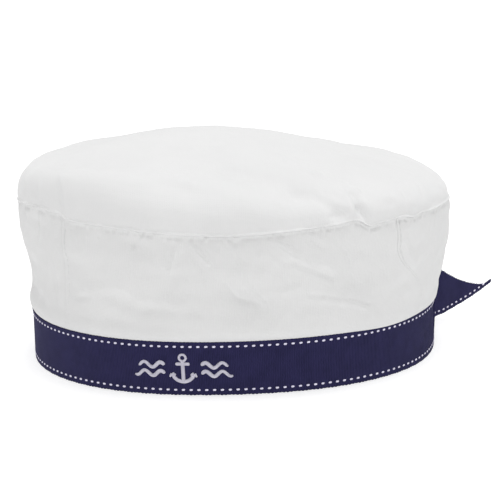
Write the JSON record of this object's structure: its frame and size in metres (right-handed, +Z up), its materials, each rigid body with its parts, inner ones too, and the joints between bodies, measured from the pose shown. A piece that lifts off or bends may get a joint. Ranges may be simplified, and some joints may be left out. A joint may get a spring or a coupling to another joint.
{
  "type": "sailor cap",
  "caption": "Soft white cotton sailor cap with a domed round top, a paneled side wall and a navy ribbon round the headband whose loose end hangs at the nape.",
  "frame": {"origin": "middle of the whole cap's box, loose ribbon end included, on the surface that it stands on", "axes": "+X from the brow to the nape, +Z up through the crown"},
  "size_m": [0.2342, 0.169, 0.105],
  "materials": {
    "top_cotton": "matte cotton twill",
    "side_cotton": "matte cotton twill",
    "band_cotton": "matte plain cotton",
    "ribbon": "ribbed grosgrain"
  },
  "bodies": {
    "root": {"crown_top": "top_cotton", "side_panel_brow": "side_cotton", "side_panel_left": "side_cotton", "side_panel_nape": "side_cotton", "side_panel_right": "side_cotton", "headband": "band_cotton", "ribbon_band": "ribbon", "ribbon_tail": "ribbon"}
  },
  "joints": []
}
